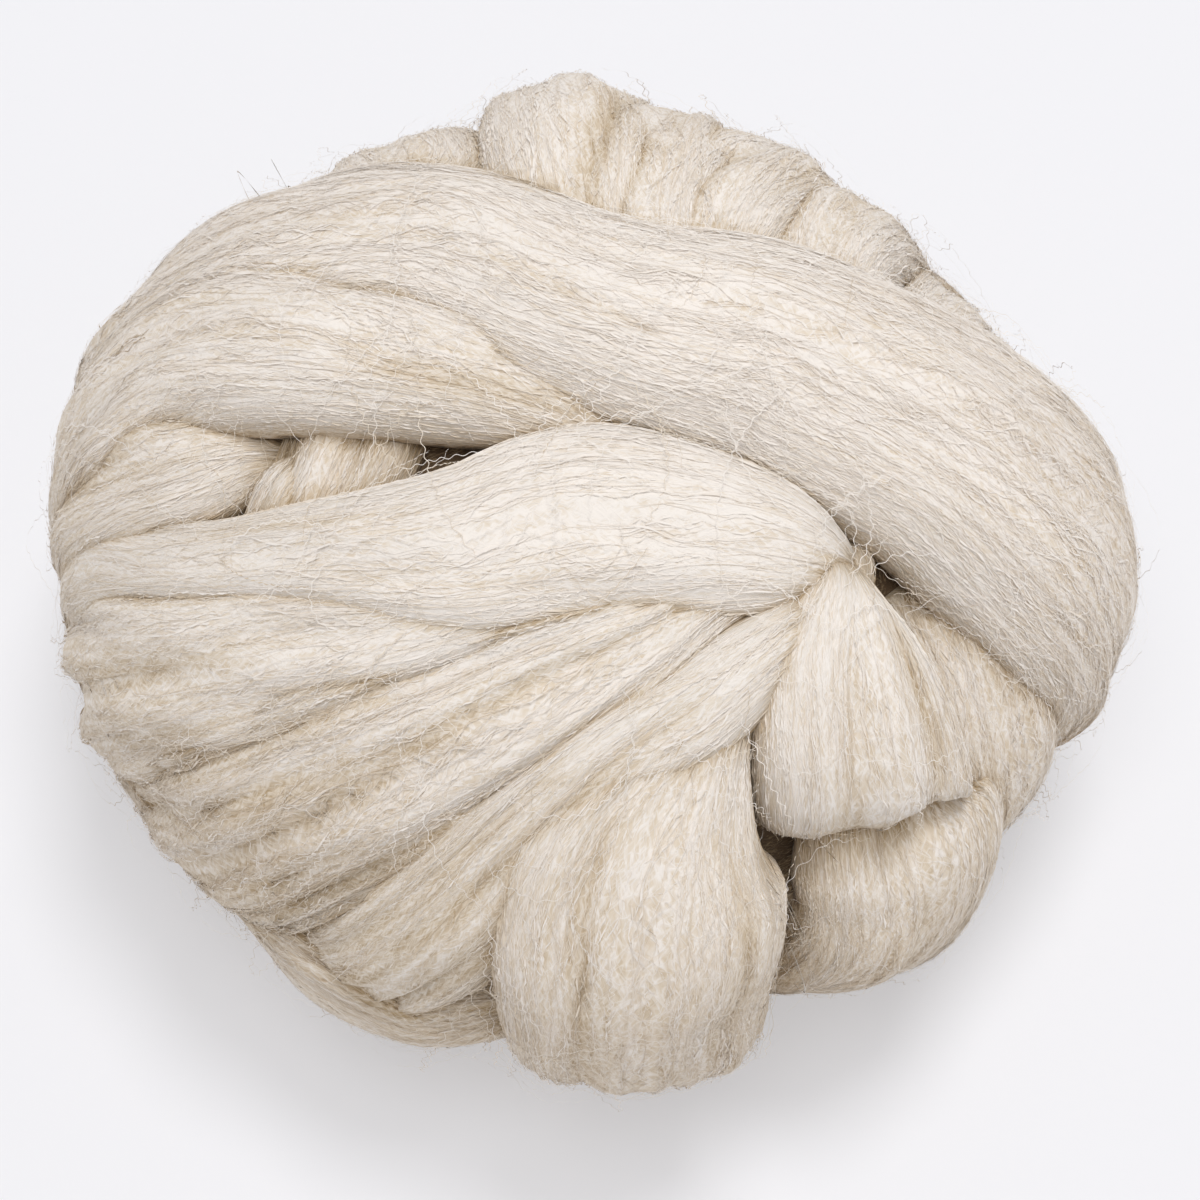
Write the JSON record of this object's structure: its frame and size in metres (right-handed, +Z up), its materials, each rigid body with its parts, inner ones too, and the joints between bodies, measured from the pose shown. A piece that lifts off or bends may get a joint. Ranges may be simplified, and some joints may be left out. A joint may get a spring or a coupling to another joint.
{
  "type": "wool roving ball",
  "caption": "Loosely wound ball of combed wool roving, its broad flattened laps crossing over and fanning from a pinch, with a flat spot to rest on.",
  "frame": {"origin": "on the surface the ball rests on, at the middle of its outline", "axes": "+Z up; +X to the right and -Y towards a person who sees the fan of fibres spread to the lower left"},
  "size_m": [0.2127, 0.2027, 0.1516],
  "materials": {
    "wool": "undyed oatmeal wool, combed and unspun, soft and dull with a faint sheen along the fibres"
  },
  "bodies": {
    "root": {"roving_ball": "wool"}
  },
  "joints": []
}
